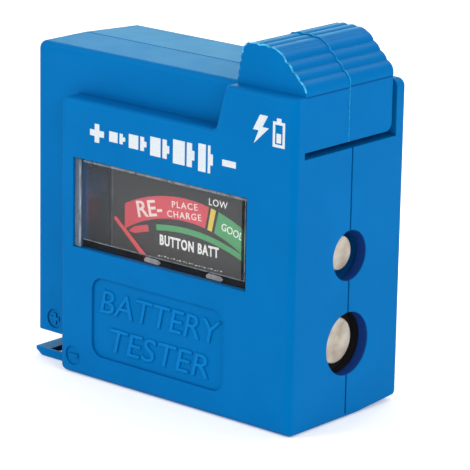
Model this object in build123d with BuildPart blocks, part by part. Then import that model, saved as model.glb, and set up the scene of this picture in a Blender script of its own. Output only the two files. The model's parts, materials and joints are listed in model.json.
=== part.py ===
from build123d import *
import math
import os

os.makedirs("parts", exist_ok=True)

# ---------------------------------------------------------------- driving sizes (mm)
# x: width, right is +x; y: depth, 0 on the parting plane, front is -y; z: height, 0 on the base
LEFT, RIGHT = -25.9, 25.2
TOP = 47.35
PANEL_Y = -12.2            # front face of the raised panel
SETBACK_Y = -9.1           # front face of the set-back body
BACK_Y = 11.7
WALL = 1.6
SKIN = 1.2                 # thinner walls round the raised panel
PANEL_LEFT = -18.3
LEDGE_Z = 40.8
STEP_X, STEP_TOP_X = 10.65, 12.3
EDGE_R = 1.0
FLAT_HALF = 3.0            # half depth of the flat strip the tester stands on
DRAFT = 0.65               # moulding draft of the rear half: rise of its base and fall of its top
CORNER_R = 1.2
FOOT_R = 0.6               # rounding along the bottom of the right side
SEAM = (0.15, 0.5)         # half width and depth of the groove between the case halves

PLATE_X = (-11.9, 13.1)      # sunk name plate under the window
PLATE_Z = (3.65, 15.5)
PLATE_DEPTH = 0.3
MARK_R = 1.45
MARK_DEPTH = 0.2
MINUS_MARK = (-15.6, 2.75)
PLUS_MARK = (-22.35, 6.15)
BARS = (1.7, 0.5)

WIN_X = (-15.7, 16.9)      # window opening
WIN_Z = (19.17, 32.4)

TERMINAL_Z = (23.53, 10.83)   # snap terminals, 12.7 apart
SOCKET_R = (3.6, 4.55)
DISC_R = (2.45, 3.3)
DISC_X = (23.5, 23.2)
DISC_T = 0.9
CHAMBER = (0.4, 21.5)      # hollow round each disc: extra radius over the socket, and its floor
STEM_R = 1.2

SLOT_X = -14.5             # inner end of the coin-cell slot
SLOT_Z = (1.2, 4.05)
LIP_X = -26.05
RIM_X = -23.5

POCKET_X = 13.0            # slide pocket, open to the top and to the right
POCKET_Z = 38.8
POCKET_Y = (-10.25, 9.5)
POCKET_WALL = 1.5

PIVOT_X, PIVOT_Z = 0.3, 11.2   # meter pivot axis, parallel to y
REST_DEG = 51.4                # pointer leans this far left of vertical at rest
POINTER_R = 18.1
POINTER_Y = -5.4
DIAL_Y = -4.3

METER_X = (-16.6, 18.0)    # meter housing outline
METER_Z = (5.6, 34.4)
METER_BACK = 4.0

HEAD_Y = (-10.15, 8.7)     # slide head
HEAD_MID = -0.75
HEAD_BOTTOM = 39.7
RAIL_Y = (-3.0, 3.0)
RAIL_Z = (40.6, 43.4)
RAIL_LEFT = -21.5
RUN = 0.1                  # running clearance of the rail

BOARD_Y = (5.2, 6.2)       # circuit board
POST_X = (-12.0, 13.6)
POST_Z = 33.6
TAIL_X = -13.2             # tail of the lower coin-cell contact

SCREWS = ((-20.3, 26.0), (20.8, 33.4), (2.0, 3.35))
SHANK_R = 0.9
BOSS_R = 2.2
RECESS_R = 1.75             # screw-head recess


def at_y(y):
    """Plane across the depth at y; extruding goes towards the front."""
    return Plane.XZ.offset(-y)


def block(x, y, z, mode=Mode.ADD):
    """Box between two limits on each axis."""
    with Locations(((x[0] + x[1]) / 2, (y[0] + y[1]) / 2, (z[0] + z[1]) / 2)):
        Box(x[1] - x[0], y[1] - y[0], z[1] - z[0], mode=mode)


def rod_y(x, z, r, y, mode=Mode.ADD):
    """Round bar parallel to y."""
    with Locations((x, (y[0] + y[1]) / 2, z)):
        Cylinder(r, y[1] - y[0], rotation=(90, 0, 0), mode=mode)


def rod_x(y, z, r, x, mode=Mode.ADD):
    """Round bar parallel to x."""
    with Locations(((x[0] + x[1]) / 2, y, z)):
        Cylinder(r, x[1] - x[0], rotation=(0, 90, 0), mode=mode)


# outline of the set-back body with the coin-cell slot and its lip, in x and z
BODY = (
    (LIP_X + 1.1, 0), (RIGHT, 0), (RIGHT, TOP), (LEFT, TOP), (LEFT, SLOT_Z[1]),
    (SLOT_X, SLOT_Z[1]), (SLOT_X, SLOT_Z[0]), (LIP_X, SLOT_Z[0]), (LIP_X, 0.75),
)
PANEL = (
    (PANEL_LEFT, 0), (RIGHT, 0), (RIGHT, TOP), (STEP_TOP_X, TOP),
    (STEP_X, LEDGE_Z), (PANEL_LEFT, LEDGE_Z),
)


def interior(y, panel):
    """Hollow of one half shell between two depths; panel is the hollow behind the raised panel."""
    block((LEFT + WALL, POCKET_X - POCKET_WALL), y, (SLOT_Z[1] + SKIN, TOP - WALL), Mode.SUBTRACT)
    block((SLOT_X + SKIN, RIGHT - WALL), y, (WALL, POCKET_Z - POCKET_WALL), Mode.SUBTRACT)
    if panel:
        depth = (PANEL_Y + WALL, y[0] + 0.1)
        block((PANEL_LEFT + SKIN, STEP_X - SKIN), depth, (5.25, LEDGE_Z - SKIN), Mode.SUBTRACT)
        block((SLOT_X + SKIN, RIGHT - WALL), depth, (WALL, POCKET_Z - POCKET_WALL), Mode.SUBTRACT)


def terminal_pad(y):
    """Thick pad behind the snap sockets, half in each shell."""
    block((CHAMBER[1] - 0.6, RIGHT - WALL + 0.1), y, (4.6, 29.0))


def socket_holes():
    """Snap sockets: a round hole through the wall, a wider chamber for the disc, a hole for its stem."""
    for z, r in zip(TERMINAL_Z, SOCKET_R):
        rod_x(0, z, r, (RIGHT - WALL - 0.1, RIGHT + 1), Mode.SUBTRACT)
        rod_x(0, z, r + CHAMBER[0], (CHAMBER[1], RIGHT - WALL), Mode.SUBTRACT)
        rod_x(0, z, STEM_R + 0.1, (20, CHAMBER[1] + 0.1), Mode.SUBTRACT)


def rail_slot():
    """Slot in the pocket's left wall that the slide rail runs through."""
    block(
        (POCKET_X - POCKET_WALL - 1, POCKET_X + 1),
        (RAIL_Y[0] - RUN, RAIL_Y[1] + RUN),
        (RAIL_Z[0] - RUN, RAIL_Z[1] + RUN),
        Mode.SUBTRACT,
    )


def cell_contact_hole():
    """Stepped hole in the pocket's left wall for the fixed cell contact."""
    rod_x(0, 45.1, 1.4, (POCKET_X - 0.6, POCKET_X + 0.1), Mode.SUBTRACT)
    rod_x(0, 45.1, 0.7, (POCKET_X - POCKET_WALL - 0.1, POCKET_X), Mode.SUBTRACT)


def rail_ribs(y):
    """Cross ribs the rail slides on."""
    for x in (-20.0, -8.0, 4.0):
        block((x, x + 1.6), y, (RAIL_Z[0] - 2.6, RAIL_Z[0] - RUN))


def contact_recess():
    """Shallow tray in the lip floor for the lower coin-cell contact."""
    block((RIM_X, SLOT_X - 0.4), (-8.7, 8.7), (0.5, SLOT_Z[0] + 0.5), Mode.SUBTRACT)


def polarity_mark(x, z, y, bars):
    """Round sunk mark in a front face with its sign left standing."""
    rod_y(x, z, MARK_R, (y - 0.5, y + MARK_DEPTH), Mode.SUBTRACT)
    depth = (y + 0.03, y + MARK_DEPTH + 0.1)
    for width, height in bars:
        block((x - width / 2, x + width / 2), depth, (z - height / 2, z + height / 2))


def leaf_window():
    """Opening in the slot's ceiling for the upper coin-cell contact."""
    block((-20.6, -17.4), (-1.8, 1.8), (SLOT_Z[1] - 0.1, 5.4), Mode.SUBTRACT)


def draft(x):
    """Moulding draft of the rear half: its base right of x and its whole top draw in towards the back."""
    end = BACK_Y + 1
    fall = DRAFT * end / BACK_Y
    base = [(x, FLAT_HALF, 0), (x, end, fall), (x, end, -1), (x, FLAT_HALF, -1)]
    roof = [(LEFT - 1, 0, TOP), (LEFT - 1, end, TOP - fall), (LEFT - 1, end, TOP + 1)]
    for corners in (base, roof):
        wedge = Face(Wire.make_polygon(corners))
        add(Solid.extrude(wedge, Vector(RIGHT + 1 - corners[0][0], 0, 0)), mode=Mode.SUBTRACT)


def seam_groove(y):
    """Half of the narrow groove where the two case halves meet, down the sides and over the top."""
    block((RIGHT - SEAM[1], RIGHT + 1), y, (FOOT_R, POCKET_Z), Mode.SUBTRACT)
    block((LEFT - 1, LEFT + SEAM[1]), y, (SLOT_Z[1] - 1, TOP + 1), Mode.SUBTRACT)
    block((LEFT - 1, POCKET_X + 1), y, (TOP - SEAM[1], TOP + 1), Mode.SUBTRACT)


# ---------------------------------------------------------------- front half shell
with BuildPart() as front_case:
    with BuildSketch(at_y(0)):
        with BuildLine():
            Polyline(*BODY, close=True)
        make_face()
    extrude(amount=-SETBACK_Y)
    corners = front_case.edges().filter_by(Axis.Y).filter_by_position(Axis.Z, TOP - 0.1, TOP + 0.1)
    fillet(corners.sort_by(Axis.X)[0], CORNER_R)
    rim = front_case.edges().filter_by_position(Axis.Y, SETBACK_Y - 0.01, SETBACK_Y + 0.01)
    rim = rim.filter_by_position(Axis.Z, SLOT_Z[1] + 0.1, TOP + 1)
    fillet(rim.filter_by_position(Axis.X, LEFT - 1, RIGHT - 1), EDGE_R)
    block((STEP_TOP_X - 0.2, RIGHT), (SETBACK_Y, SETBACK_Y + 1.2), (LEDGE_Z, TOP))
    with BuildSketch(at_y(SETBACK_Y)):
        with BuildLine():
            Polyline(*PANEL, close=True)
        make_face()
    extrude(amount=SETBACK_Y - PANEL_Y)
    foot = front_case.edges().filter_by(Axis.Y).filter_by_position(Axis.Z, -0.01, 0.01)
    fillet(foot.sort_by(Axis.X)[-1], FOOT_R)
    uprights = front_case.edges().filter_by(Axis.Y).filter_by_position(Axis.Y, PANEL_Y, SETBACK_Y)
    low_left = uprights.filter_by_position(Axis.Z, -0.01, 0.01).sort_by(Axis.X)[0]
    fillet(uprights.filter_by_position(Axis.Z, 40, TOP + 1) + [low_left], EDGE_R)
    rim = front_case.edges().filter_by_position(Axis.Y, PANEL_Y - 0.01, PANEL_Y + 0.01)
    fillet(rim, EDGE_R - 0.1)
    interior((SETBACK_Y + WALL, 0), True)
    rail_ribs((SETBACK_Y + WALL, 0))
    terminal_pad((-6.5, 0))
    block((POCKET_X, RIGHT + 1), (POCKET_Y[0], 1), (POCKET_Z, TOP + 9), Mode.SUBTRACT)
    rail_slot()
    cell_contact_hole()
    contact_recess()
    leaf_window()
    seam_groove((-SEAM[0], 0.1))
    socket_holes()
    block(WIN_X, (PANEL_Y - 1, PANEL_Y + 3), WIN_Z, Mode.SUBTRACT)
    with BuildSketch(at_y(PANEL_Y)):
        with Locations((sum(PLATE_X) / 2, sum(PLATE_Z) / 2)):
            RectangleRounded(PLATE_X[1] - PLATE_X[0], PLATE_Z[1] - PLATE_Z[0], 2.0)
    extrude(amount=-PLATE_DEPTH, mode=Mode.SUBTRACT)
    polarity_mark(*MINUS_MARK, PANEL_Y, (BARS,))
    polarity_mark(*PLUS_MARK, SETBACK_Y, (BARS, BARS[::-1]))
    for x, z in SCREWS:
        boss_front = (SETBACK_Y if x < PANEL_LEFT else PANEL_Y) + 0.8
        rod_y(x, z, BOSS_R, (boss_front, 0))
        rod_y(x, z, SHANK_R, (SETBACK_Y + 2.6, 0.1), Mode.SUBTRACT)
front_case.part.label = "front_case"
export_step(front_case.part, "parts/front_case.step")

# ---------------------------------------------------------------- rear half shell
with BuildPart() as rear_case:
    with BuildSketch(at_y(BACK_Y)):
        with BuildLine():
            Polyline(*BODY, close=True)
        make_face()
    extrude(amount=BACK_Y)
    draft(SLOT_X + SKIN)
    sides = rear_case.edges().filter_by_position(Axis.Y, 0.1, BACK_Y - 0.1)
    fillet(sides.filter_by_position(Axis.Z, TOP - DRAFT, TOP), CORNER_R)
    foot = rear_case.edges().filter_by_position(Axis.Y, 0.1, BACK_Y - 0.1)
    foot = foot.filter_by_position(Axis.Z, -0.01, DRAFT)
    fillet(foot.filter_by_position(Axis.X, RIGHT - 0.01, RIGHT + 0.01), FOOT_R)
    rim = rear_case.edges().filter_by_position(Axis.Y, BACK_Y - 0.01, BACK_Y + 0.01)
    fillet(rim.filter_by_position(Axis.Z, SLOT_Z[1] + 0.1, TOP + 1)
           + rim.filter_by_position(Axis.Z, 0.3, 0.9), EDGE_R - 0.1)
    interior((0, BACK_Y - WALL), False)
    rail_ribs((0, BACK_Y - WALL))
    for x in POST_X:
        rod_y(x, POST_Z, 1.7, (BOARD_Y[1], BACK_Y - 0.8))
        rod_y(x, POST_Z, 0.9, (BOARD_Y[0] - 0.3, BOARD_Y[1]))
    block((SLOT_X - 0.4, TAIL_X + 0.3), (2.0, 6.0), (0.5, WALL + 0.1), Mode.SUBTRACT)
    terminal_pad((0, 6.5))
    block((POCKET_X, RIGHT + 1), (-1, POCKET_Y[1]), (POCKET_Z, TOP + 9), Mode.SUBTRACT)
    rail_slot()
    cell_contact_hole()
    contact_recess()
    leaf_window()
    seam_groove((-0.1, SEAM[0]))
    socket_holes()
    for x, z in SCREWS:
        rod_y(x, z, BOSS_R, (0, BACK_Y - 0.8))
        rod_y(x, z, SHANK_R + 0.1, (-0.1, BACK_Y), Mode.SUBTRACT)
        rod_y(x, z, RECESS_R, (BACK_Y - 1.4, BACK_Y + 1), Mode.SUBTRACT)
rear_case.part.label = "rear_case"
export_step(rear_case.part, "parts/rear_case.step")

# ---------------------------------------------------------------- case screws
for number, (x, z) in enumerate(SCREWS, 1):
    with BuildPart() as screw:
        rod_y(x, z, SHANK_R, (-6.0, BACK_Y - 1.4))
        rod_y(x, z, RECESS_R - 0.15, (BACK_Y - 1.4, BACK_Y - 0.3))
        block((x - 1.1, x + 1.1), (BACK_Y - 0.8, BACK_Y), (z - 0.2, z + 0.2), Mode.SUBTRACT)
        block((x - 0.2, x + 0.2), (BACK_Y - 0.8, BACK_Y), (z - 1.1, z + 1.1), Mode.SUBTRACT)
    screw.part.label = f"case_screw_{number}"
    export_step(screw.part, f"parts/case_screw_{number}.step")

# ---------------------------------------------------------------- meter housing
METER_WALL = 1.0
IN_X = (METER_X[0] + METER_WALL, METER_X[1] - METER_WALL)
IN_Z = (METER_Z[0] + METER_WALL, METER_Z[1] - METER_WALL)
COVER_Y = (PANEL_Y + WALL, DIAL_Y + 0.4)      # flange of the cover to its back edge
BORDER_X, BORDER_Z = (1.4, 1.2), (1.3, 0.65)   # stepped border round the cover's pane
PANE_Y, BORDER_Y, RIM_Y = PANEL_Y + 0.45, PANEL_Y + 0.75, PANEL_Y + 0.3   # pane, border, left rim
POST_LEVELS = (19.2, IN_Z[1] - 1.4)           # heights of the posts under the dial
DIAL_SCREWS = [(IN_X[1] - 1.4, z) for z in POST_LEVELS]

with BuildPart() as meter_cover:
    block(METER_X, COVER_Y, METER_Z)
    block(IN_X, (COVER_Y[0] + 1.0, COVER_Y[1] + 1), IN_Z, Mode.SUBTRACT)
    block((WIN_X[0] + 0.15, WIN_X[1] - 0.15), (BORDER_Y, COVER_Y[0]),
          (WIN_Z[0] + 0.15, WIN_Z[1] - 0.15))
    block((WIN_X[0] + BORDER_X[0], WIN_X[1] - BORDER_X[1]), (PANE_Y, COVER_Y[0]),
          (WIN_Z[0] + BORDER_Z[0], WIN_Z[1] - BORDER_Z[1]))
    block((WIN_X[0] + 0.15, WIN_X[0] + BORDER_X[0]), (RIM_Y, COVER_Y[0]),
          (WIN_Z[0] + 0.15, WIN_Z[1] - 0.15))
meter_cover.part.label = "meter_cover"
export_step(meter_cover.part, "parts/meter_cover.step")

with BuildPart() as meter_base:
    block(METER_X, (COVER_Y[1], METER_BACK), METER_Z)
    block(IN_X, (COVER_Y[1] - 1, METER_BACK - 1), IN_Z, Mode.SUBTRACT)
    for x in (IN_X[0] + 1.4, IN_X[1] - 1.4):
        for z in POST_LEVELS:
            rod_y(x, z, 1.2, (COVER_Y[1], METER_BACK - 0.5))
    for x, z in DIAL_SCREWS:
        rod_y(x, z, 0.5, (COVER_Y[1] - 0.1, 0), Mode.SUBTRACT)
    for x in (PIVOT_X - 6.2, PIVOT_X + 6.2):
        block((x - 1.4, x + 1.4), (-1.2, METER_BACK - 0.5), (PIVOT_Z - 2.2, PIVOT_Z + 2.2))
        rod_y(x, PIVOT_Z, 0.5, (-1.3, 1.5), Mode.SUBTRACT)
    rod_y(PIVOT_X, PIVOT_Z, 0.9, (METER_BACK - 1.5, METER_BACK + 1), Mode.SUBTRACT)
meter_base.part.label = "meter_base"
export_step(meter_base.part, "parts/meter_base.step")

# ---------------------------------------------------------------- dial plate and its screws
STOP_R = 9.4
STOPS = [
    (PIVOT_X + STOP_R * math.sin(math.radians(a)), PIVOT_Z + STOP_R * math.cos(math.radians(a)))
    for a in (-REST_DEG - 4.5, REST_DEG + 4.5)
]
with BuildPart() as dial_plate:
    block((IN_X[0] + 0.05, IN_X[1] - 0.05), (DIAL_Y, DIAL_Y + 0.4), (17.7, IN_Z[1] - 0.05))
    for x, z in STOPS:
        block((x - 1.0, x + 1.0), (DIAL_Y, DIAL_Y + 0.4), (z - 0.8, 17.8))
        rod_y(x, z, 0.35, (DIAL_Y - 1.7, DIAL_Y + 0.2))
    for x, z in DIAL_SCREWS:
        rod_y(x, z, 0.55, (DIAL_Y - 1, DIAL_Y + 1), Mode.SUBTRACT)
dial_plate.part.label = "dial_plate"
export_step(dial_plate.part, "parts/dial_plate.step")

with BuildPart() as dial_screws:
    for x, z in DIAL_SCREWS:
        rod_y(x, z, 0.5, (DIAL_Y, 0))
        rod_y(x, z, 0.95, (DIAL_Y - 0.5, DIAL_Y))
        block((x - 0.12, x + 0.12), (DIAL_Y - 0.6, DIAL_Y - 0.3), (z - 1, z + 1), Mode.SUBTRACT)
dial_screws.part.label = "dial_screws"
export_step(dial_screws.part, "parts/dial_screws.step")

# ---------------------------------------------------------------- fixed half of the movement
RING_R = (3.6, 4.5)
RING_Y = (-3.0, 0.6)
with BuildPart() as yoke_ring:
    rod_y(PIVOT_X, PIVOT_Z, RING_R[1], RING_Y)
    for side in (-1, 1):
        block((PIVOT_X + side * 5.9 - 1.7, PIVOT_X + side * 5.9 + 1.7), (-2.0, -1.2),
              (PIVOT_Z - 1.8, PIVOT_Z + 1.8))
        rod_y(PIVOT_X + side * 6.2, PIVOT_Z, 0.55, (-3, 0), Mode.SUBTRACT)
    rod_y(PIVOT_X, PIVOT_Z, RING_R[0], (-4, 2), Mode.SUBTRACT)
yoke_ring.part.label = "yoke_ring"
export_step(yoke_ring.part, "parts/yoke_ring.step")

CORE_R = 2.1
with BuildPart() as core_magnet:
    rod_y(PIVOT_X, PIVOT_Z, CORE_R, (RING_Y[0], RING_Y[1] - 0.2))
core_magnet.part.label = "core_magnet"
export_step(core_magnet.part, "parts/core_magnet.step")

with BuildPart() as core_clip:
    block((PIVOT_X - 0.8, PIVOT_X + 0.8), (-2.4, -0.2), (PIVOT_Z - RING_R[0], PIVOT_Z + RING_R[0]))
    rod_y(PIVOT_X, PIVOT_Z, CORE_R, (-4, 2), Mode.SUBTRACT)
    with BuildSketch(at_y(-0.2)):
        with Locations((PIVOT_X, PIVOT_Z)):
            Circle(RING_R[0])
    extrude(amount=2.2, mode=Mode.INTERSECT)
core_clip.part.label = "core_clip"
export_step(core_clip.part, "parts/core_clip.step")

BRIDGE_Y = (-7.6, -6.9)
with BuildPart() as front_bridge:
    block((PIVOT_X - 7.4, PIVOT_X + 7.4), BRIDGE_Y, (PIVOT_Z - 1.2, PIVOT_Z + 1.2))
    for side in (-1, 1):
        block((PIVOT_X + side * 6.2 - 1.2, PIVOT_X + side * 6.2 + 1.2), (BRIDGE_Y[0], -2.0),
              (PIVOT_Z - 1.2, PIVOT_Z + 1.2))
        rod_y(PIVOT_X + side * 6.2, PIVOT_Z, 0.5, (-9, 0), Mode.SUBTRACT)
    rod_y(PIVOT_X, PIVOT_Z, 0.9, (-9, -6), Mode.SUBTRACT)
front_bridge.part.label = "front_bridge"
export_step(front_bridge.part, "parts/front_bridge.step")

with BuildPart() as bridge_screws:
    for side in (-1, 1):
        rod_y(PIVOT_X + side * 6.2, PIVOT_Z, 0.5, (BRIDGE_Y[0], 1.4))
        rod_y(PIVOT_X + side * 6.2, PIVOT_Z, 1.0, (BRIDGE_Y[0] - 0.6, BRIDGE_Y[0]))
bridge_screws.part.label = "bridge_screws"
export_step(bridge_screws.part, "parts/bridge_screws.step")

SHAFT_R = 0.35
SHAFT_Y = (-7.2, 2.6)
with BuildPart() as front_jewel:
    rod_y(PIVOT_X, PIVOT_Z, 0.9, (-8.6, -6.7))
    rod_y(PIVOT_X, PIVOT_Z, SHAFT_R + 0.05, (-7.3, -6), Mode.SUBTRACT)
    block((PIVOT_X - 1, PIVOT_X + 1), (-8.7, -8.3), (PIVOT_Z - 0.12, PIVOT_Z + 0.12), Mode.SUBTRACT)
front_jewel.part.label = "front_jewel"
export_step(front_jewel.part, "parts/front_jewel.step")

with BuildPart() as rear_jewel:
    rod_y(PIVOT_X, PIVOT_Z, 0.9, (2.2, METER_BACK + 0.6))
    rod_y(PIVOT_X, PIVOT_Z, SHAFT_R + 0.05, (2, 2.7), Mode.SUBTRACT)
rear_jewel.part.label = "rear_jewel"
export_step(rear_jewel.part, "parts/rear_jewel.step")

# ---------------------------------------------------------------- moving half of the movement
LEAN = math.radians(REST_DEG)
OUT = (-math.sin(LEAN), math.cos(LEAN))        # along the pointer, in x and z
ACROSS = (math.cos(LEAN), math.sin(LEAN))


def polar(along, across):
    """Point in x and z measured along and across the pointer at rest."""
    return (
        PIVOT_X + OUT[0] * along + ACROSS[0] * across,
        PIVOT_Z + OUT[1] * along + ACROSS[1] * across,
    )


COIL_R = (2.5, 3.2)
COIL_HALF = 0.55
COIL_Y = (-4.3, 1.6)
END_BAR = 0.6
with BuildPart() as coil_frame:
    with BuildSketch(at_y(COIL_Y[1])):
        with BuildLine():
            Polyline(
                polar(-COIL_HALF, -COIL_R[1]), polar(COIL_HALF, -COIL_R[1]),
                polar(COIL_HALF, COIL_R[1]), polar(-COIL_HALF, COIL_R[1]), close=True,
            )
        make_face()
    extrude(amount=COIL_Y[1] - COIL_Y[0])
    with BuildSketch(at_y(COIL_Y[1] - END_BAR)):
        with BuildLine():
            Polyline(
                polar(-1, -COIL_R[0]), polar(1, -COIL_R[0]),
                polar(1, COIL_R[0]), polar(-1, COIL_R[0]), close=True,
            )
        make_face()
    extrude(amount=COIL_Y[1] - COIL_Y[0] - 2 * END_BAR, mode=Mode.SUBTRACT)
    rod_y(PIVOT_X, PIVOT_Z, SHAFT_R, (-5, 3), Mode.SUBTRACT)
coil_frame.part.label = "coil_frame"
export_step(coil_frame.part, "parts/coil_frame.step")

with BuildPart() as pivot_shaft:
    rod_y(PIVOT_X, PIVOT_Z, SHAFT_R, (SHAFT_Y[0], COIL_Y[0] + END_BAR))
    rod_y(PIVOT_X, PIVOT_Z, SHAFT_R, (COIL_Y[1] - END_BAR, SHAFT_Y[1]))
pivot_shaft.part.label = "pivot_shaft"
export_step(pivot_shaft.part, "parts/pivot_shaft.step")

with BuildPart() as pointer:
    with BuildSketch(at_y(POINTER_Y + 0.1)):
        with BuildLine():
            Polyline(
                polar(-3.2, -0.35), polar(0, -0.45), polar(POINTER_R, -0.2),
                polar(POINTER_R, 0.2), polar(0, 0.45), polar(-3.2, 0.35), close=True,
            )
        make_face()
    extrude(amount=0.2)
    rod_y(PIVOT_X, PIVOT_Z, 0.9, (POINTER_Y - 0.3, POINTER_Y + 0.3))
    rod_y(*polar(-2.9, 0), 0.6, (POINTER_Y - 0.45, POINTER_Y + 0.45))
    rod_y(PIVOT_X, PIVOT_Z, SHAFT_R, (-7, -4), Mode.SUBTRACT)
pointer.part.label = "pointer"
export_step(pointer.part, "parts/pointer.step")

# ---------------------------------------------------------------- hairspring
TURNS = 3.5
with BuildPart() as hairspring:
    with BuildSketch(at_y(-6.1)):
        with BuildLine():
            for radial in (0.0, 0.09):
                Spline(*[
                    (
                        PIVOT_X + (0.47 + radial + 0.55 * t) * math.cos(2 * math.pi * t),
                        PIVOT_Z + (0.47 + radial + 0.55 * t) * math.sin(2 * math.pi * t),
                    )
                    for t in [i / 8 for i in range(int(TURNS * 8) + 1)]
                ])
            Line((PIVOT_X + 0.47, PIVOT_Z), (PIVOT_X + 0.56, PIVOT_Z))
            tip = 0.47 + 0.55 * TURNS
            Line((PIVOT_X - tip, PIVOT_Z), (PIVOT_X - tip - 0.09, PIVOT_Z))
        make_face()
    extrude(amount=0.3)
    block((PIVOT_X - tip - 0.3, PIVOT_X - tip - 0.05), (-6.9, -6.1), (PIVOT_Z - 0.3, PIVOT_Z + 0.3))
hairspring.part.label = "hairspring"
export_step(hairspring.part, "parts/hairspring.step")

# ---------------------------------------------------------------- circuit board and load resistors
with BuildPart() as circuit_board:
    block((-15.0, 17.0), BOARD_Y, (7.5, 36.0))
    for x in POST_X:
        rod_y(x, POST_Z, 1.0, (5, 7), Mode.SUBTRACT)
circuit_board.part.label = "circuit_board"
export_step(circuit_board.part, "parts/circuit_board.step")

for name, z in (("resistor_9v", 29.0), ("resistor_cell", 22.5), ("resistor_button", 16.0)):
    with BuildPart() as resistor:
        rod_x(BOARD_Y[1] + 1.25, z, 1.05, (-3.4, 3.4))
        rod_x(BOARD_Y[1] + 1.25, z, 0.3, (-5.6, 5.6))
        for x in (-5.2, 5.2):
            rod_y(x, z, 0.25, (BOARD_Y[1], BOARD_Y[1] + 1.25))
    resistor.part.label = name
    export_step(resistor.part, f"parts/{name}.step")

# ---------------------------------------------------------------- snap-terminal contacts
for name, z, r, x in zip(("small_terminal", "large_terminal"), TERMINAL_Z, DISC_R, DISC_X):
    with BuildPart() as terminal:
        rod_x(0, z, r, (x - DISC_T, x))
        rod_x(0, z, STEM_R, (20.7, x - DISC_T + 0.1))
        block((20.4, 20.8), (-2.5, BOARD_Y[0]), (z - 2.2, z + 2.2))
        block((15.2, 20.8), (BOARD_Y[0] - 0.4, BOARD_Y[0]), (z - 1.5, z + 1.5))
        face = terminal.edges().filter_by(GeomType.CIRCLE).sort_by(Axis.X)[-1]
        fillet(face, 0.25)
    terminal.part.label = name
    export_step(terminal.part, f"parts/{name}.step")

# ---------------------------------------------------------------- coin-cell contacts
with BuildPart() as button_minus:
    block((RIM_X + 0.9, SLOT_X - 0.5), (-8.4, 8.4), (0.5, 0.8))
    block((SLOT_X - 0.6, TAIL_X + 0.3), (2.1, 5.2), (0.5, 0.8))
    block((TAIL_X, TAIL_X + 0.3), (2.1, BOARD_Y[0]), (0.5, 4.6))
    block((TAIL_X, TAIL_X + 0.3), (METER_BACK + 0.3, BOARD_Y[0]), (4.0, 9.6))
button_minus.part.label = "button_minus"
export_step(button_minus.part, "parts/button_minus.step")

LEAF_Z = (5.75, 6.0)
DIMPLE_Z = 3.35
with BuildPart() as button_plus:
    with BuildSketch(at_y(1.4)):
        with BuildLine():
            Polyline(
                (LEFT + WALL, LEAF_Z[0]), (-20.4, LEAF_Z[0]), (-19.7, DIMPLE_Z), (-18.7, DIMPLE_Z),
                (-18.0, LEAF_Z[0]), (-17.2, LEAF_Z[0]), (-17.2, LEAF_Z[1]), (-18.2, LEAF_Z[1]),
                (-18.9, DIMPLE_Z + 0.25), (-19.5, DIMPLE_Z + 0.25), (-20.2, LEAF_Z[1]),
                (LEFT + WALL, LEAF_Z[1]), close=True,
            )
        make_face()
    extrude(amount=2.8)
button_plus.part.label = "button_plus"
export_step(button_plus.part, "parts/button_plus.step")

# ---------------------------------------------------------------- slide head
RIBS_LEFT = [(13.2, 47.4), (13.3, 48.5), (13.5, 49.6), (13.7, 50.7), (13.95, 51.8), (14.3, 52.8)]
RIBS_TOP = [(15.3, 53.2), (16.85, 53.2), (18.45, 53.2)]
RIBS_RIGHT = [(20.25, 52.8), (21.45, 51.65), (22.65, 50.5), (23.85, 49.35)]
RIBS = RIBS_LEFT + RIBS_TOP + RIBS_RIGHT
RIB_HEIGHT = 0.2
HEAD_X = (13.15, 25.0)
HEAD_WALL = 1.5
LOW_RIB = ((24.95, 48.3), (HEAD_X[1], 47.25))   # crest and foot of the lowest rib on the right


def bulge(a, b):
    """Middle of a rib's arc between two furrows."""
    length = math.dist(a, b)
    return (
        (a[0] + b[0]) / 2 - RIB_HEIGHT * (b[1] - a[1]) / length,
        (a[1] + b[1]) / 2 + RIB_HEIGHT * (b[0] - a[0]) / length,
    )


HALVES = (("slide_front", (HEAD_Y[0], HEAD_MID), 0.0), ("slide_rear", (HEAD_MID, HEAD_Y[1]), 0.12))
for name, y, lift in HALVES:
    ribs = [(px, pz + lift) for px, pz in RIBS]
    crest, foot = [(px, pz + lift) for px, pz in LOW_RIB]
    with BuildPart() as head:
        with BuildSketch(at_y(y[1])):
            with BuildLine():
                for a, b in zip(ribs, ribs[1:]):
                    ThreePointArc(a, bulge(a, b), b)
                ThreePointArc(ribs[-1], crest, foot)
                Polyline(
                    foot, (HEAD_X[1], HEAD_BOTTOM), (HEAD_X[0], HEAD_BOTTOM),
                    (HEAD_X[0], 47.3), ribs[0],
                )
            make_face()
        extrude(amount=y[1] - y[0])
        if name == "slide_rear":
            base = head.edges().filter_by(Axis.X).filter_by_position(Axis.Z, 39, 40)
            fillet(base.sort_by(Axis.Y)[-1], 1.2)
        hollow = (max(y[0], HEAD_Y[0] + HEAD_WALL), min(y[1], HEAD_Y[1] - HEAD_WALL))
        inside = (HEAD_X[0] + HEAD_WALL, HEAD_X[1] - HEAD_WALL)
        block(inside, hollow, (HEAD_BOTTOM + 0.9, 48.0), Mode.SUBTRACT)
        block((HEAD_X[0] - 1, HEAD_X[0] + HEAD_WALL), RAIL_Y, RAIL_Z, Mode.SUBTRACT)
        block((HEAD_X[0] - 1, HEAD_X[0] + 0.3), (-1.5, 1.5), (RAIL_Z[1] - 0.1, 46.5), Mode.SUBTRACT)
    head.part.label = name
    export_step(head.part, f"parts/{name}.step")

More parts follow.
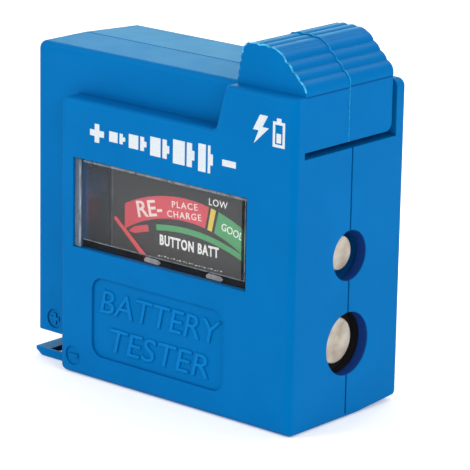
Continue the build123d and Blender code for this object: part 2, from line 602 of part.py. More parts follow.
# ---------------------------------------------------------------- slide rail and its contact strip
with BuildPart() as slide_rail:
    block((RAIL_LEFT, HEAD_X[0] + HEAD_WALL + 1.4), RAIL_Y, RAIL_Z)
    block((HEAD_X[0] + HEAD_WALL, HEAD_X[0] + HEAD_WALL + 1.4), (-4.2, 4.2), RAIL_Z)
    block((RAIL_LEFT, RAIL_LEFT + 1.2), (-4.2, 4.2), RAIL_Z)
    block((RAIL_LEFT + 1.5, HEAD_X[0] + 0.3), (-1.5, 1.5), (RAIL_Z[1] - 0.3, RAIL_Z[1] + 1), Mode.SUBTRACT)
slide_rail.part.label = "slide_rail"
export_step(slide_rail.part, "parts/slide_rail.step")

with BuildPart() as slide_contact:
    block((RAIL_LEFT + 1.5, HEAD_X[0] + 0.3), (-1.5, 1.5), (RAIL_Z[1] - 0.3, RAIL_Z[1]))
    block((HEAD_X[0], HEAD_X[0] + 0.3), (-1.5, 1.5), (RAIL_Z[1] - 0.3, 46.5))
slide_contact.part.label = "slide_contact"
export_step(slide_contact.part, "parts/slide_contact.step")

# ---------------------------------------------------------------- fixed contacts of the slide
CEILING = TOP - WALL
with BuildPart() as slide_wiper:
    with BuildSketch(at_y(1.2)):
        with BuildLine():
            Polyline(
                (-4.0, CEILING), (6.0, CEILING), (6.0, CEILING - 0.3), (3.0, CEILING - 0.3),
                (0.6, RAIL_Z[1] + 0.05), (-0.6, RAIL_Z[1] + 0.05), (-1.6, RAIL_Z[1] + 0.9),
                (-1.3, RAIL_Z[1] + 1.1), (-0.5, RAIL_Z[1] + 0.35), (0.5, RAIL_Z[1] + 0.35),
                (2.5, CEILING - 0.3), (-4.0, CEILING - 0.3), close=True,
            )
        make_face()
    extrude(amount=2.4)
slide_wiper.part.label = "slide_wiper"
export_step(slide_wiper.part, "parts/slide_wiper.step")

with BuildPart() as cell_contact:
    rod_x(0, 45.1, 1.4, (POCKET_X - 0.6, POCKET_X))
    rod_x(0, 45.1, 0.7, (10.8, POCKET_X - 0.5))
    block((10.8, 11.1), (-1.4, 4.6), (43.9, 45.7))
cell_contact.part.label = "cell_contact"
export_step(cell_contact.part, "parts/cell_contact.step")

# ---------------------------------------------------------------- lead wires to the back of the board
WIRE_R = 0.45
WIRE_Y = 7.6
WIRES = {
    "wire_wiper": ((-3.5, 0.0, CEILING - 0.8), (-3.5, WIRE_Y, CEILING - 0.8), (-3.5, WIRE_Y, 34.5)),
    "wire_cell": ((10.9, 5.1, 44.8), (10.5, WIRE_Y, 44.8), (10.5, WIRE_Y, 34.5)),
    "wire_button": ((-23.0, 1.9, 6.4), (-23.0, WIRE_Y, 6.4), (-13.6, WIRE_Y, 12.0)),
}
for name, points in WIRES.items():
    end = (points[-1][0], BOARD_Y[1], points[-1][2])
    with BuildPart() as wire:
        with BuildLine() as path:
            FilletPolyline(*points, end, radius=1.0)
        with BuildSketch(Plane(path.line @ 0, z_dir=path.line % 0)):
            Circle(WIRE_R)
        sweep()
    wire.part.label = name
    export_step(wire.part, f"parts/{name}.step")
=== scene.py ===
import json
import math

import bpy
from mathutils import Matrix, Vector


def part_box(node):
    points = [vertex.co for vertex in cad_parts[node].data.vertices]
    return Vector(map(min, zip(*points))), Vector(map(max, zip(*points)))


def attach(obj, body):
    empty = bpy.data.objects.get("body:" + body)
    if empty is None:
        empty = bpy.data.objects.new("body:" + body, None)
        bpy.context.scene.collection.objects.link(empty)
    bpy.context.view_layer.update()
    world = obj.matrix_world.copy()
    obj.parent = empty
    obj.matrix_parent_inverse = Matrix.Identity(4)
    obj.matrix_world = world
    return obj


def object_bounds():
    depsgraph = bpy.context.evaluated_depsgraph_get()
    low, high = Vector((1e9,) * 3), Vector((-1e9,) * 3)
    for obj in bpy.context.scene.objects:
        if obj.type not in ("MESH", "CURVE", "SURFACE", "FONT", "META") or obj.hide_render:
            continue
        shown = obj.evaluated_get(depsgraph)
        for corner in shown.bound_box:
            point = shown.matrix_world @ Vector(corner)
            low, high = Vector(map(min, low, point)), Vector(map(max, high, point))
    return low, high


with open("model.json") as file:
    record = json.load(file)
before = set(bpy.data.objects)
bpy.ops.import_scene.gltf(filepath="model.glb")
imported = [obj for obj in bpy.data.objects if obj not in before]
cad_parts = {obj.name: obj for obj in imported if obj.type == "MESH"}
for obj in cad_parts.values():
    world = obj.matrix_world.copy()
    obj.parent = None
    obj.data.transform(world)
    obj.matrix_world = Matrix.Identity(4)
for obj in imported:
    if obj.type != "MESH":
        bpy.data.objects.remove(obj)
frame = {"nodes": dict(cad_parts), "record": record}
cad_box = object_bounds()
nodes = frame["nodes"]
MM = 0.001                                # every size below is in millimetres unless it says otherwise


# ------------------------------------------------------------------ shader helpers
def new_material(name):
    """Material with its node tree and its Principled shader."""
    mat = bpy.data.materials.new(name)
    mat.use_nodes = True
    tree = mat.node_tree
    shader = tree.nodes["Principled BSDF"]
    return mat, tree, shader


def coords(tree, scale=(1, 1, 1)):
    """Object coordinates, stretched by scale."""
    where = tree.nodes.new("ShaderNodeTexCoord")
    mapping = tree.nodes.new("ShaderNodeMapping")
    mapping.inputs["Scale"].default_value = scale
    tree.links.new(where.outputs["Object"], mapping.inputs["Vector"])
    return mapping.outputs["Vector"]


def noise(tree, vector, scale, detail=2.0):
    """Noise from 0 to 1; scale is in cycles per metre."""
    n = tree.nodes.new("ShaderNodeTexNoise")
    n.inputs["Scale"].default_value = scale
    n.inputs["Detail"].default_value = detail
    tree.links.new(vector, n.inputs["Vector"])
    return n.outputs["Fac"]


def ramp(tree, value, stops):
    """Colour ramp through (position, colour) stops."""
    n = tree.nodes.new("ShaderNodeValToRGB")
    points = n.color_ramp.elements
    while len(points) < len(stops):
        points.new(0.5)
    for point, (place, colour) in zip(points, stops):
        point.position = place
        point.color = (*colour, 1)
    tree.links.new(value, n.inputs["Fac"])
    return n.outputs["Color"]


def spread(tree, value, low, high):
    """Maps 0..1 to low..high."""
    n = tree.nodes.new("ShaderNodeMapRange")
    n.inputs["To Min"].default_value = low
    n.inputs["To Max"].default_value = high
    tree.links.new(value, n.inputs["Value"])
    return n.outputs["Result"]


def bump(tree, shader, height, strength, depth_mm):
    """Small relief on a shader's normal."""
    n = tree.nodes.new("ShaderNodeBump")
    n.inputs["Strength"].default_value = strength
    n.inputs["Distance"].default_value = depth_mm * MM
    tree.links.new(height, n.inputs["Height"])
    tree.links.new(n.outputs["Normal"], shader.inputs["Normal"])


def paint_crevice_shade(tree, colour, painted_shade_colour, reach_mm):
    """Paints shade into a colour: turns it darker in crevices narrower than about the reach."""
    crevice = tree.nodes.new("ShaderNodeAmbientOcclusion")
    crevice.samples = 8
    crevice.only_local = True
    crevice.inputs["Distance"].default_value = reach_mm * MM
    mix = tree.nodes.new("ShaderNodeMix")
    mix.data_type = "RGBA"
    mix.inputs["A"].default_value = (*painted_shade_colour, 1)
    shut_to_open = ((0.05, (0, 0, 0)), (0.68, (1, 1, 1)))
    tree.links.new(ramp(tree, crevice.outputs["AO"], shut_to_open), mix.inputs["Factor"])
    tree.links.new(colour, mix.inputs["B"])
    return mix.outputs["Result"]


def shade(colour, factor):
    """A colour made darker or lighter."""
    return tuple(c * factor for c in colour)


# ------------------------------------------------------------------ kinds of material
# reach of the painted crevice shade, in millimetres
CREVICE_REACH = 8.0
HAZE = 0.045                              # milkiness of the clear cover, from 0 to 1


def plastic(name, colour, roughness=0.36, grain=9000, grain_depth=0.012, specular=0.06, fleck=0.0,
            sheen=(1, 1, 1), painted_shade_colour=None):
    """Moulded plastic: flow mottling, spark-eroded grain and uneven, tinted sheen.

    fleck breaks up its colour, and the crevice colour paints shade into its crevices."""
    mat, tree, shader = new_material(name)
    at = coords(tree)
    mottle_scale, low, high = (1800, 0.4, 0.6) if fleck else (90, 0.3, 0.7)
    mottle = noise(tree, at, mottle_scale, 3)
    shown = ramp(tree, mottle, ((low, shade(colour, 0.95 - fleck * 0.6)), (high, shade(colour, 1.04))))
    # painted shade: the colour turns darker in crevices
    if painted_shade_colour:
        shown = paint_crevice_shade(tree, shown, painted_shade_colour, CREVICE_REACH)
    tree.links.new(shown, shader.inputs["Base Color"])
    patches = noise(tree, at, 260, 4)
    tree.links.new(spread(tree, patches, roughness - 0.05, roughness + 0.06), shader.inputs["Roughness"])
    shader.inputs["Specular IOR Level"].default_value = specular
    shader.inputs["Specular Tint"].default_value = (*sheen, 1)
    bump(tree, shader, noise(tree, at, grain, 2), 0.35, grain_depth)
    return mat


def metal(name, colour, roughness=0.3, stretch=(1, 1, 1), scale=2500, metallic=0.7, tarnish_and_reflection_colour=None):
    """Plated or turned metal with fine drawn marks and slight tarnish; the last argument is its most
    tarnished colour, and on the nickel contacts these brown blotches are painted reflection.
    """
    mat, tree, shader = new_material(name)
    marks = noise(tree, coords(tree, stretch), scale, 3)
    tarnish_and_reflection = noise(tree, coords(tree), 400, 4)
    stops = ((0.35, tarnish_and_reflection_colour or shade(colour, 0.82)), (0.65, colour))
    tree.links.new(ramp(tree, tarnish_and_reflection, stops), shader.inputs["Base Color"])
    tree.links.new(spread(tree, marks, roughness - 0.08, roughness + 0.12), shader.inputs["Roughness"])
    shader.inputs["Metallic"].default_value = metallic
    bump(tree, shader, marks, 0.2, 0.01)
    return mat


def paint(name, colour, roughness=0.5, grain=4000, painted_light=0.0):
    """Printed or lacquered colour with a slightly uneven film; glow is emission, painted light that lifts it
    behind the clear cover.
    """
    mat, tree, shader = new_material(name)
    film = noise(tree, coords(tree), grain, 3)
    shown = ramp(tree, film, ((0.3, shade(colour, 0.9)), (0.7, shade(colour, 1.05))))
    tree.links.new(shown, shader.inputs["Base Color"])
    tree.links.new(shown, shader.inputs["Emission Color"])
    shader.inputs["Emission Strength"].default_value = painted_light
    tree.links.new(spread(tree, film, roughness - 0.05, roughness + 0.08), shader.inputs["Roughness"])
    bump(tree, shader, film, 0.15, 0.008)
    return mat


def tint(name, colour, opacity, roughness=0.4, grain=1500):
    """Half-clear sheet of painted light and shade seen in the edges of the moulded cover: streaky, so that
    what lies behind shows through.
    """
    mat, tree, shader = new_material(name)
    mat.use_transparent_shadow = True
    streaks = noise(tree, coords(tree, (1, 1, 0.3)), grain, 4)
    stops = ((0.3, shade(colour, 0.6)), (0.7, shade(colour, 1.3)))
    tree.links.new(ramp(tree, streaks, stops), shader.inputs["Base Color"])
    tree.links.new(spread(tree, streaks, opacity * 0.8, min(1.0, opacity * 1.2)), shader.inputs["Alpha"])
    shader.inputs["Roughness"].default_value = roughness
    return mat


def clear_plastic(name):
    """Clear moulded cover: see-through and slightly milky, with a scuffed fresnel sheen on its outer side."""
    mat, tree, _ = new_material(name)
    mat.use_transparent_shadow = True
    through = tree.nodes.new("ShaderNodeBsdfTransparent")
    through.inputs["Color"].default_value = (0.96, 0.97, 0.98, 1)
    haze = tree.nodes.new("ShaderNodeBsdfDiffuse")
    haze.inputs["Color"].default_value = (0.62, 0.66, 0.70, 1)
    body = tree.nodes.new("ShaderNodeMixShader")
    body.inputs["Fac"].default_value = HAZE
    tree.links.new(through.outputs["BSDF"], body.inputs[1])
    tree.links.new(haze.outputs["BSDF"], body.inputs[2])

    gloss = tree.nodes.new("ShaderNodeBsdfGlossy")
    scuffs = noise(tree, coords(tree, (1, 1, 3)), 700, 6)
    tree.links.new(spread(tree, scuffs, 0.03, 0.12), gloss.inputs["Roughness"])

    fresnel = tree.nodes.new("ShaderNodeFresnel")
    fresnel.inputs["IOR"].default_value = 1.5
    side = tree.nodes.new("ShaderNodeNewGeometry")
    outer_only = tree.nodes.new("ShaderNodeMath")
    outer_only.operation = "MULTIPLY"
    tree.links.new(spread(tree, side.outputs["Backfacing"], 1.0, 0.0), outer_only.inputs[0])
    tree.links.new(fresnel.outputs["Fac"], outer_only.inputs[1])

    mix = tree.nodes.new("ShaderNodeMixShader")
    tree.links.new(outer_only.outputs[0], mix.inputs["Fac"])
    tree.links.new(body.outputs["Shader"], mix.inputs[1])
    tree.links.new(gloss.outputs["BSDF"], mix.inputs[2])
    tree.links.new(mix.outputs["Shader"], tree.nodes["Material Output"].inputs["Surface"])
    return mat


# ------------------------------------------------------------------ materials
DIAL_PAINTED_LIGHT = 0.70                               # emission of the printed dial: painted light that lifts it behind the clear cover
BLUE = (0.0002, 0.142, 0.412)
BLUE_PAINTED_SHADE = (0.004, 0.018, 0.13)          # painted shade in the crevices of the blue plastic
BLUE_SHEEN = (0.0, 0.75, 1.0)             # the blue plastic shines bluish

# blue plastic
case_blue = plastic("case_blue", BLUE, sheen=BLUE_SHEEN, painted_shade_colour=BLUE_PAINTED_SHADE)
slide_blue = plastic("slide_blue", BLUE, roughness=0.3, sheen=BLUE_SHEEN, painted_shade_colour=BLUE_PAINTED_SHADE)
# darker copy of the blue plastic: painted shade on the socket walls
shaded_blue = plastic("shaded_blue", (0.010, 0.045, 0.22), sheen=BLUE_SHEEN)
# dark blue for the strips of painted shadow under the lowest rib of the slide head
rib_shadow_blue = plastic("rib_shadow_blue", (0.0003, 0.075, 0.26), sheen=BLUE_SHEEN)
# lighter copy of the case blue for the raised letters: painted highlight
word_highlight_blue = plastic("word_highlight_blue", (0.002, 0.174, 0.485), sheen=BLUE_SHEEN, painted_shade_colour=BLUE_PAINTED_SHADE)
# moulding flash along the parting line, coloured lighter than the case blue: real flash with a painted
# highlight
flash_highlight_blue = plastic("flash_highlight_blue", (0.02, 0.34, 0.68), roughness=0.3, specular=0.3, fleck=0.5,
                     sheen=BLUE_SHEEN)
# light blue for the bead along the head's front edge: painted highlight
edge_highlight_blue = plastic("edge_highlight_blue", (0.08, 0.50, 0.86), roughness=0.3, specular=0.3, fleck=0.9,
                    sheen=BLUE_SHEEN)

# other plastic
black = plastic("black_plastic", (0.018, 0.018, 0.02), roughness=0.45)
clear = clear_plastic("clear_cover")
wire_red = plastic("wire_red", (0.50, 0.02, 0.02), roughness=0.45)
wire_black = plastic("wire_black", (0.015, 0.015, 0.015), roughness=0.45)

# painted highlights, shade and glints in the moulded edges of the clear cover
# light grey for the painted highlights along the cover's edges
edge_highlight = tint("cover_edge_highlight", (0.45, 0.50, 0.54), 0.42)
# nearly black sheet that paints the shade seen in the cover's bottom and right edges
edge_shade = tint("cover_edge_shade", (0.014, 0.016, 0.020), 0.66, grain=300)
# grey-blue sheet that paints the light and shade of the cover's left side wall
edge_left_painted = tint("cover_edge_left_painted", (0.15, 0.18, 0.24), 0.55, grain=500)
glint = tint("cover_glint", (0.33, 0.33, 0.34), 0.7, grain=600)

# metal
# the brown blotches of the nickel contacts are painted reflection
nickel = metal("nickel", (0.86, 0.79, 0.66), roughness=0.36, metallic=0.3, tarnish_and_reflection_colour=(0.58, 0.47, 0.36))
steel = metal("screw_steel", (0.62, 0.63, 0.66), roughness=0.28)
iron = metal("soft_iron", (0.42, 0.43, 0.45), roughness=0.4)
brass = metal("brass", (0.78, 0.57, 0.25), roughness=0.27)
bronze = metal("spring_bronze", (0.72, 0.44, 0.24), roughness=0.3)
copper = metal("coil_copper", (0.66, 0.25, 0.11), roughness=0.35, stretch=(1, 12, 1), scale=5000)

# print, lacquer and board
# the dial print and the pointer emit light: painted light behind the clear cover
dial_grey = paint("dial_print", (0.045, 0.040, 0.036), roughness=0.55, painted_light=DIAL_PAINTED_LIGHT)
red = paint("dial_red", (0.66, 0.075, 0.095), painted_light=DIAL_PAINTED_LIGHT)
green = paint("dial_green", (0.085, 0.34, 0.13), painted_light=DIAL_PAINTED_LIGHT)
amber = paint("dial_amber", (0.72, 0.52, 0.07), painted_light=DIAL_PAINTED_LIGHT)
ink = paint("dial_ink", (0.86, 0.83, 0.78), painted_light=DIAL_PAINTED_LIGHT)
warm_ink = paint("dial_warm_ink", (0.84, 0.66, 0.60), painted_light=DIAL_PAINTED_LIGHT)
faint_ink = paint("dial_faint_ink", (0.60, 0.58, 0.54), painted_light=DIAL_PAINTED_LIGHT)
white_print = paint("white_print", (0.66, 0.72, 0.76), roughness=0.42)
needle_red = paint("pointer_red", (0.78, 0.08, 0.09), roughness=0.35, painted_light=DIAL_PAINTED_LIGHT)
board = paint("board", (0.33, 0.19, 0.07), roughness=0.6, grain=1500)
ceramic = paint("resistor_body", (0.66, 0.52, 0.33), roughness=0.45)

SLOT_MATERIAL = {
    "case_blue": case_blue, "slide_blue": slide_blue, "rail_blue": slide_blue,
    "clear_cover": clear, "black_plastic": black, "dial_print": dial_grey, "screw_steel": steel,
    "soft_iron": iron, "magnet": iron, "brass": brass, "coil_copper": copper,
    "pivot_steel": steel, "pointer_red": needle_red, "spring_bronze": bronze, "board": board,
    "resistor_body": ceramic, "nickel": nickel, "wire_red": wire_red, "wire_black": wire_black,
}
for part in frame["record"]["subparts"]:
    for slot in nodes[part["node"]].material_slots:
        slot.material = SLOT_MATERIAL[part["material_slot"]]


# ------------------------------------------------------------------ outlines in x and z
def arc(centre, radius, start, end, steps=40):
    """Points on an arc; angles in degrees from the vertical, clockwise."""
    out = []
    for i in range(steps + 1):
        a = math.radians(start + (end - start) * i / steps)
        out.append((centre[0] + radius * math.sin(a), centre[1] + radius * math.cos(a)))
    return out


def band(centre, outer, inner, start, end, inner_start=None, inner_end=None):
    """Arched band between two radii; its ends can lean."""
    back = arc(centre, inner, start if inner_start is None else inner_start,
               end if inner_end is None else inner_end)
    return arc(centre, outer, start, end) + back[::-1]


def bar(x0, x1, z0, z1):
    """Upright rectangle."""
    return [(x0, z0), (x1, z0), (x1, z1), (x0, z1)]


def hollow_bar(x0, x1, z0, z1, line):
    """Four bars that make a hollow rectangle."""
    return [
        bar(x0, x1, z0, z0 + line), bar(x0, x1, z1 - line, z1),
        bar(x0, x0 + line, z0 + line, z1 - line), bar(x1 - line, x1, z0 + line, z1 - line),
    ]


# ------------------------------------------------------------------ kinds of piece
FILM = 0.03                               # thickness of printed film
CAPITAL = 0.73                            # height of a capital over the font's size


def add_mesh(name, points, faces, material, body="case"):
    """Mesh piece that rides on a body, with the given material."""
    mesh = bpy.data.meshes.new(name)
    mesh.from_pydata([[c * MM for c in p] for p in points], [], faces)
    mesh.materials.append(material)
    piece = bpy.data.objects.new(name, mesh)
    bpy.context.scene.collection.objects.link(piece)
    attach(piece, body)
    return piece


def sheet(name, outlines, y, material, thick=FILM):
    """Thin closed sheets that face the front, with their backs at depth y."""
    points, faces = [], []
    for outline in outlines:
        n, k = len(outline), len(points)
        points += [(x, y - thick, z) for x, z in outline] + [(x, y, z) for x, z in outline]
        faces += [tuple(range(k, k + n)), tuple(range(k + 2 * n - 1, k + n - 1, -1))]
        faces += [(k + i, k + n + i, k + n + (i + 1) % n, k + (i + 1) % n) for i in range(n)]
    add_mesh(name, points, faces, material)


def lettering(name, text, at, y, height, material, turn=0.0, squeeze=1.0, bold=0.0, gap=1.0,
              lean=0.0, raised=FILM, rounded=0.0):
    """Raised capitals centred at x and z on a face at depth y; turn is in degrees."""
    data = bpy.data.curves.new(name, "FONT")
    data.body = text
    data.align_x, data.align_y = "CENTER", "CENTER"
    data.size = height * MM / CAPITAL
    data.extrude = (raised / 2 - rounded) * MM
    data.bevel_depth = rounded * MM
    data.bevel_resolution = 2
    data.offset = bold * MM
    data.shear = lean
    data.space_character = gap
    data.resolution_u = 4
    source = bpy.data.objects.new(name + "_src", data)
    bpy.context.scene.collection.objects.link(source)
    bpy.context.view_layer.update()
    mesh = bpy.data.meshes.new_from_object(source)
    bpy.data.objects.remove(source)
    mesh.transform(
        Matrix.Translation(Vector((at[0], y - raised / 2, at[1])) * MM)
        @ Matrix.Rotation(math.radians(90), 4, "X")
        @ Matrix.Rotation(math.radians(turn), 4, "Z")
        @ Matrix.Diagonal((squeeze, 1, 1, 1))
    )
    mesh.materials.clear()
    mesh.materials.append(material)
    piece = bpy.data.objects.new(name, mesh)
    bpy.context.scene.collection.objects.link(piece)
    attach(piece, "case")


def ring(name, z, section, material, steps=64):
    """Round piece about a sideways axis at height z; section is its closed outline in radius and x."""
    points, faces = [], []
    for i in range(steps):
        a = 2 * math.pi * i / steps
        points += [(x, r * math.sin(a), z + r * math.cos(a)) for r, x in section]
    k = len(section)
    for i in range(steps):
        here, after = i * k, (i + 1) % steps * k
        faces += [(here + j, here + (j + 1) % k, after + (j + 1) % k, after + j) for j in range(k)]
    add_mesh(name, points, faces, material)


def bead(name, path, y, radius, material, sides=8):
    """Round bead on the slide head, along a path in x and z at depth y."""
    points, faces = [], []
    for i, (x, z) in enumerate(path):
        before, after = path[max(i - 1, 0)], path[min(i + 1, len(path) - 1)]
        along = Vector((after[0] - before[0], 0, after[1] - before[1])).normalized()
        out = Vector((-along.z, 0, along.x))
        for k in range(sides):
            a = 2 * math.pi * k / sides
            points.append(Vector((x, y, z)) + radius * (out * math.cos(a) + Vector((0, 1, 0)) * math.sin(a)))
    for i in range(len(path) - 1):
        for k in range(sides):
            a, b = i * sides + k, i * sides + (k + 1) % sides
            faces.append((a, b, b + sides, a + sides))
    faces.append(tuple(range(sides))[::-1])
    faces.append(tuple(range((len(path) - 1) * sides, len(path) * sides)))
    piece = add_mesh(name, points, faces, material, "slide")
    for face in piece.data.polygons:
        face.use_smooth = True


# ------------------------------------------------------------------ printed dial
plate_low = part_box("dial_plate")[0]
DIAL_Y = plate_low[1] / MM + 1.7          # printed face of the dial plate
BAND_Y = DIAL_Y - FILM                    # printed face of its coloured bands

MAIN, MAIN_R = (-1.2, 2.05), (25.35, 22.05)     # centre, outer and inner radius of the battery scale
THIN, THIN_R = (-1.05, -8.0), (31.1, 30.25)     # and of the button battery scale
sheet("dial_band_red", [band(MAIN, *MAIN_R, -27.5, 10.0, -32.0, 9.7)], DIAL_Y, red)
sheet("dial_band_amber", [band(MAIN, *MAIN_R, 10.9, 13.0)], DIAL_Y, amber)
sheet("dial_band_green", [band(MAIN, *MAIN_R, 14.2, 38.0)], DIAL_Y, green)
SMALL_RED = [(-12.1, 20.6)] + band(THIN, 31.1, 30.1, -19.0, -13.7)
sheet("dial_small_red", [SMALL_RED], DIAL_Y, red)
sheet("dial_small_green", [band(THIN, *THIN_R, -10.7, 25.0, None, 24.0)], DIAL_Y, green)

# name, words, centre, face, height, ink, turn, squeeze, bold, gap
DIAL_WORDS = (
    ("dial_word_re", "RE-", (-8.15, 24.55), BAND_Y, 2.45, warm_ink, 13, 1.08, 0.05, 1.0),
    ("dial_word_place", "PLACE", (-1.4, 26.3), BAND_Y, 0.98, warm_ink, 5, 1.1, 0.01, 1.25),
    ("dial_word_charge", "CHARGE", (-1.45, 24.85), BAND_Y, 0.98, warm_ink, 5, 1.1, 0.01, 1.2),
    ("dial_word_low", "LOW", (4.85, 27.8), DIAL_Y, 1.05, ink, 0, 1.02, 0.0, 1.08),
    ("dial_word_good", "GOOD", (7.72, 24.2), BAND_Y, 1.12, ink, -13, 0.92, 0.0, 1.0),
    ("dial_words_button", "BUTTON BATT", (-0.5, 20.5), DIAL_Y, 1.5, ink, 1, 0.72, 0.075, 1.16),
)
for name, words, at, face_y, height, colour, turn, squeeze, bold, gap in DIAL_WORDS:
    lettering(name, words, at, face_y, height, colour, turn, squeeze, bold, gap)

# row of dashes of uneven length at the foot of the dial
DASHES, SPACES = (0.3, 0.12, 0.38, 0.2, 0.1), (0.3, 0.42, 0.26, 0.5)
DASH_LEFT, DASH_LOW, DASH_THICK = -6.3, 17.95, 0.15
dashes = []
dash_x = DASH_LEFT
for i in range(21):
    dash_z = DASH_LOW + 0.05 * (i % 3)
    dash_end = dash_x + DASHES[i % 5]
    dashes.append(bar(dash_x, dash_end, dash_z, dash_z + DASH_THICK))
    dash_x = dash_end + SPACES[i % 4]
sheet("dial_ticks", dashes, DIAL_Y, faint_ink)

# ------------------------------------------------------------------ painted light and shade on the stepped border of the clear cover
PANEL_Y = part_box("front_case")[0][1] / MM       # front of the raised panel
LEFT, RIGHT, BOTTOM, TOP = -15.7, 16.9, 19.17, 32.4    # window opening
STEP_LEFT, STEP_RIGHT, STEP_BOTTOM, STEP_TOP = 1.4, 1.2, 1.3, 0.65    # widths of the stepped border
RIM_Y = PANEL_Y + 0.29                    # the left border stands closer to the front
BORDER_Y = PANEL_Y + 0.74
MARGIN, LAP = 0.16, 0.01                  # gap to the case; lap over the step
LINE, WIDE_LINE, RIM_LINE = 0.12, 0.3, 0.42

x0, x1, z0, z1 = LEFT + MARGIN, RIGHT - MARGIN, BOTTOM + MARGIN, TOP - MARGIN
in_x0, in_x1 = LEFT + STEP_LEFT - LAP, RIGHT - STEP_RIGHT + LAP
in_z0, in_z1 = BOTTOM + STEP_BOTTOM - LAP, TOP - STEP_TOP + LAP
right_x = in_x1 + WIDE_LINE
# painted light and shade on the cover's left border
sheet("cover_edge_left_painted", [bar(x0, in_x0, z0, z1)], RIM_Y, edge_left_painted)
# painted highlight along the cover's left rim
sheet("cover_rim_highlight", [bar(in_x0 - RIM_LINE, in_x0, z0, z1)], RIM_Y - FILM, edge_highlight)
# painted shade in the cover's bottom and right edges
sheet("cover_edge_bottom", [bar(in_x0, x1, z0, in_z0)], BORDER_Y, edge_shade)
sheet("cover_edge_right", [bar(in_x1 - WIDE_LINE, x1, in_z0, z1)], BORDER_Y, edge_shade)
# painted highlights along the cover's inner edges
EDGE_HIGHLIGHTS = [
    bar(in_x0, right_x, in_z0 - LINE, in_z0),
    bar(in_x0, x1, in_z1, in_z1 + WIDE_LINE),
    bar(right_x, right_x + LINE, in_z0 - LINE, in_z1),
]
sheet("cover_edge_highlights", EDGE_HIGHLIGHTS, BORDER_Y - FILM, edge_highlight, thick=0.05)
# painted highlight in the cover's rear left corner
dial_left = plate_low[0] / MM
CORNER_LOW, CORNER_HIGH = 17.75, 33.2
corner = bar(dial_left, dial_left + WIDE_LINE, CORNER_LOW, CORNER_HIGH)
sheet("cover_corner_highlight", [corner], DIAL_Y, edge_highlight)
GLINT = [(0, 19.45), (2.6, 19.4), (3.1, 19.8), (2.5, 20.15), (0.4, 20.2), (-0.1, 19.8)]
GLINTS = [[(left + x, z) for x, z in GLINT] for left in (-2.4, 9.2)]
sheet("cover_edge_glints", GLINTS, BORDER_Y - FILM - 0.001, glint, thick=0.02)

# ------------------------------------------------------------------ snap sockets
side_x = cad_box[1][0] / MM
SHADE_SHEET, MOUTH = 0.03, 0.12                # thickness of the sheet of painted shade on the socket walls; it starts this far inside
CUP_WALL, CUP_DEPTH, CUP_HOLE = 0.2, 1.75, 1.6
CUP_OVER, CUP_GAP, CUP_BEVEL = 0.37, 0.02, 0.05
for mount in frame["record"]["mounts"]:
    if mount["kind"] != "bore":
        continue
    bore_z, bore_r = mount["pos_m"][2] / MM, mount["dims"]["r_mm"]
    wall_x = side_x - mount["dims"]["length_mm"]
    # thin ring of darker blue on each socket wall: painted shade inside the socket
    shade_sheet = [(bore_r, side_x - MOUTH), (bore_r, wall_x), (bore_r - SHADE_SHEET, wall_x),
              (bore_r - SHADE_SHEET, side_x - MOUTH - SHADE_SHEET)]
    ring(mount["name"] + "_shade_sheet", bore_z, shade_sheet, shaded_blue)
    if mount["name"] == "large_socket":         # black cup round the large contact, which makes the gap round it dark
        cup_front, cup_back = wall_x - CUP_GAP, wall_x - CUP_DEPTH
        outer, inner = bore_r + CUP_OVER, bore_r + CUP_OVER - CUP_WALL
        cup = [(outer, cup_front), (outer, cup_back), (CUP_HOLE, cup_back), (CUP_HOLE, cup_back + CUP_WALL),
               (inner, cup_back + CUP_WALL), (inner, cup_front - CUP_BEVEL), (inner + CUP_BEVEL, cup_front)]
        ring("large_socket_cup", bore_z, cup, black)

# ------------------------------------------------------------------ raised words of the name plate
PLATE_Y = PANEL_Y + 0.3                   # sunk face of the name plate
# the letters take the lighter blue, a painted highlight
for name, words, at, squeeze in (("plate_word_1", "BATTERY", (0.45, 11.9), 1.10),
                                 ("plate_word_2", "TESTER", (0.5, 6.5), 1.20)):
    lettering(name, words, at, PLATE_Y, 3.62, word_highlight_blue, squeeze=squeeze, bold=-0.07,
              lean=0.2, raised=0.22, rounded=0.09)

# ------------------------------------------------------------------ white print
# battery pictograms in five sizes, between a plus and a minus sign
ROW_Z, STROKE = 36.6, 0.45                # STROKE is half the thickness of the signs
PLUS_X, PLUS_REACH = -11.05, 1.35
NUB, LABEL_GAP, ICON_GAP = 0.45, 0.38, 0.7
icons = [
    bar(PLUS_X - PLUS_REACH, PLUS_X + PLUS_REACH, ROW_Z - STROKE, ROW_Z + STROKE),
    bar(PLUS_X - STROKE, PLUS_X + STROKE, ROW_Z - PLUS_REACH, ROW_Z - STROKE),
    bar(PLUS_X - STROKE, PLUS_X + STROKE, ROW_Z + STROKE, ROW_Z + PLUS_REACH),
]
left = -8.7
for length, height in ((2.6, 1.5), (2.9, 2.0), (3.1, 2.7), (3.5, 3.4), (2.2, 3.9)):
    low, high = ROW_Z - height / 2, ROW_Z + height / 2
    split, right = left + length * 0.62, left + length
    icons.append(bar(left, split, low, high))
    icons.append(bar(split + LABEL_GAP, right, low, high))
    icons.append(bar(right, right + NUB, ROW_Z - height / 5, ROW_Z + height / 5))
    left = right + NUB + ICON_GAP
icons.append(bar(12.35, 14.8, ROW_Z - STROKE, ROW_Z + STROKE))
sheet("print_battery_row", icons, PANEL_Y, white_print)

BOLT = [(18.9, 44.4), (20.3, 44.4), (19.35, 42.75), (20.5, 42.75), (17.9, 40.3), (18.7, 42.2), (17.7, 42.2)]
CELL = hollow_bar(21.2, 23.3, 40.4, 43.9, 0.4)
CELL_NUB, CELL_CHARGE = bar(21.85, 22.65, 43.9, 44.4), bar(21.85, 22.65, 41.0, 42.3)
sheet("print_bolt_and_cell", [BOLT] + CELL + [CELL_NUB, CELL_CHARGE], PANEL_Y, white_print)


